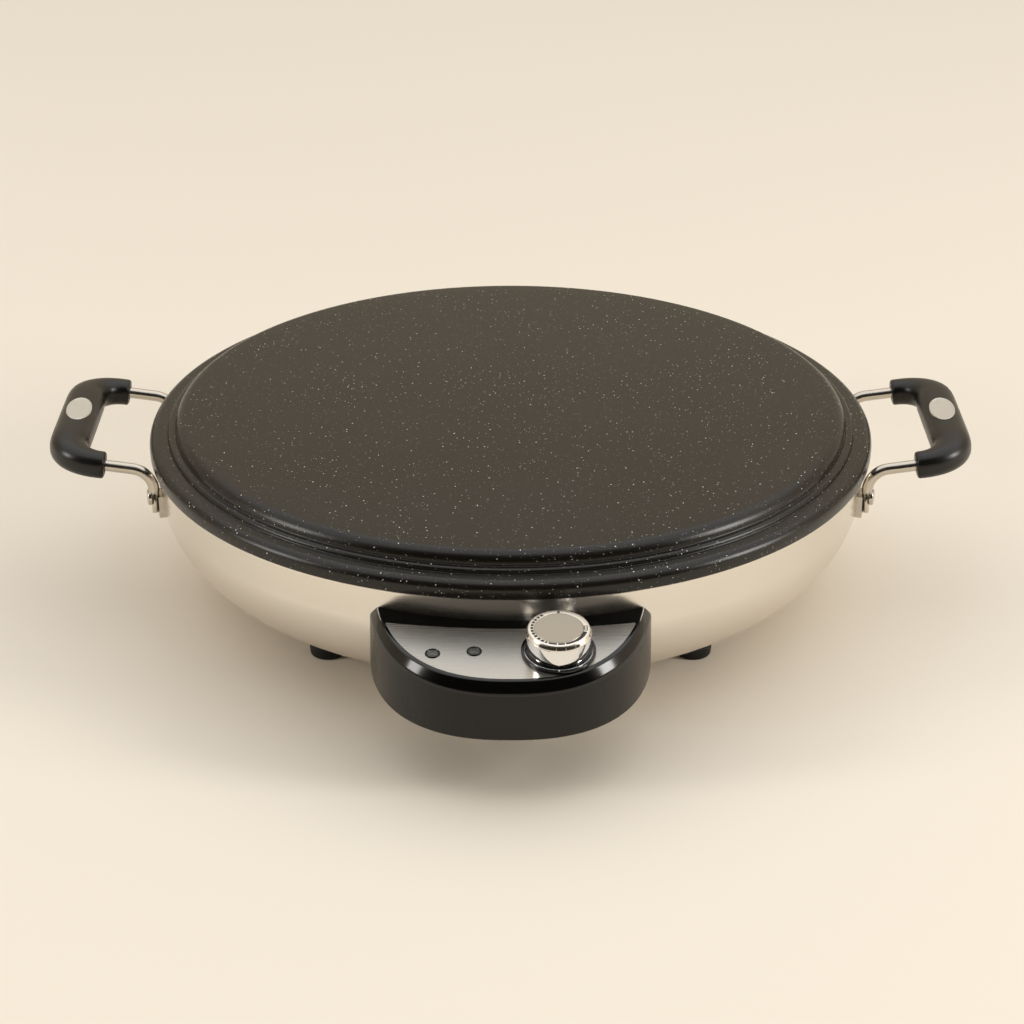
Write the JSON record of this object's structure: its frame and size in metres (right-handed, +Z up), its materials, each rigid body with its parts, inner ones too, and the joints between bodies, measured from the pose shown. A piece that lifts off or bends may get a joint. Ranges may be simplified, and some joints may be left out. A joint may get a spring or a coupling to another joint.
{
  "type": "electric crepe maker",
  "caption": "Round electric crepe maker with a coated baking plate on a steel bowl, wire handles with black grips, and a front control box with a knob and lamps.",
  "frame": {"origin": "centre of the footprint's bounding box, on the surface the feet stand on", "axes": "+X to the user's right, along the two handles; +Y away from the user, from the control box to the cord gland; +Z up, out of the baking surface"},
  "size_m": [0.48, 0.4334, 0.0986],
  "materials": {
    "coated_plate": "cast aluminium with a dark, fine-speckled non-stick coating",
    "element_sheath": "oxidised tubular sheath",
    "zinc_steel": "zinc-plated steel",
    "shield_aluminium": "bright rolled aluminium sheet",
    "copper": "bare copper",
    "ceramic": "off-white glazed insulator",
    "brushed_bowl": "stainless steel brushed round the bowl, satin",
    "foot_rubber": "matte black moulded rubber",
    "brass": "turned brass",
    "lead_sleeve": "braided glass sleeve over copper leads",
    "satin_black": "satin black moulded plastic",
    "gloss_black": "black moulded plastic, glossy on the bevel",
    "fascia_steel": "thin stainless plate brushed across its width",
    "chrome": "bright chrome plating",
    "satin_cap": "satin anodised aluminium disc",
    "lamp_lens": "smoked domed lens",
    "neon_glass": "clear glass envelope",
    "handle_steel": "polished stainless wire",
    "grip_black": "matte black heat-resistant moulding",
    "badge_metal": "plain oval inlay"
  },
  "bodies": {
    "base": {"baking_plate": "coated_plate", "heating_element": "element_sheath", "element_clamp": "zinc_steel", "clamp_screws": "zinc_steel", "tie_rods": "zinc_steel", "tie_nuts": "zinc_steel", "heat_shield": "shield_aluminium", "shield_spacers": "zinc_steel", "shield_nuts": "zinc_steel", "sensor_bulb": "copper", "sensor_clip": "zinc_steel", "thermal_fuse": "ceramic", "fuse_clip": "zinc_steel", "base_bowl": "brushed_bowl", "access_cover": "zinc_steel", "access_screws": "zinc_steel", "foot_front_left": "foot_rubber", "foot_front_right": "foot_rubber", "foot_rear_left": "foot_rubber", "foot_rear_right": "foot_rubber", "foot_screws": "zinc_steel", "terminal_block": "ceramic", "earth_stud": "brass", "wiring_loom": "lead_sleeve", "cord_gland": "satin_black", "gland_nut": "satin_black", "control_housing": "gloss_black", "control_cover": "satin_black", "control_cover_screws": "zinc_steel", "housing_screws": "zinc_steel", "control_fascia": "fascia_steel", "thermostat_body": "ceramic", "thermostat_bush": "brass", "thermostat_nut": "zinc_steel", "knob_bezel": "gloss_black", "knob_bezel_trim": "chrome", "lamp_bezel_left": "chrome", "lamp_bezel_right": "chrome", "lamp_lens_left": "lamp_lens", "lamp_lens_right": "lamp_lens", "neon_lamps": "neon_glass", "handle_wire_left": "handle_steel", "handle_wire_right": "handle_steel", "handle_grip_left": "grip_black", "handle_grip_right": "grip_black", "grip_badge_left": "badge_metal", "grip_badge_right": "badge_metal", "handle_backing_left": "handle_steel", "handle_backing_right": "handle_steel", "handle_rivets_left": "handle_steel", "handle_rivets_right": "handle_steel"},
    "knob": {"knob_body": "chrome", "knob_cap": "satin_cap", "thermostat_spindle": "zinc_steel"},
    "pin": {"thermostat_pin": "ceramic"}
  },
  "joints": [
    {"name": "knob_turn", "type": "hinge", "parent": "base", "child": "knob", "pos_m": [0.022, -0.19195, 0.06601], "axis": [0, -0.1305, 0.9914], "range_deg": [-96, 180]},
    {"name": "pin_travel", "type": "slide", "parent": "base", "child": "pin", "axis": [0, -0.1305, 0.9914], "range_m": [-0.000266, 0.000494]}
  ],
  "couplings": [
    {"joint": "pin_travel", "follows": "knob_turn", "m_per_rad": 0.0001557}
  ]
}
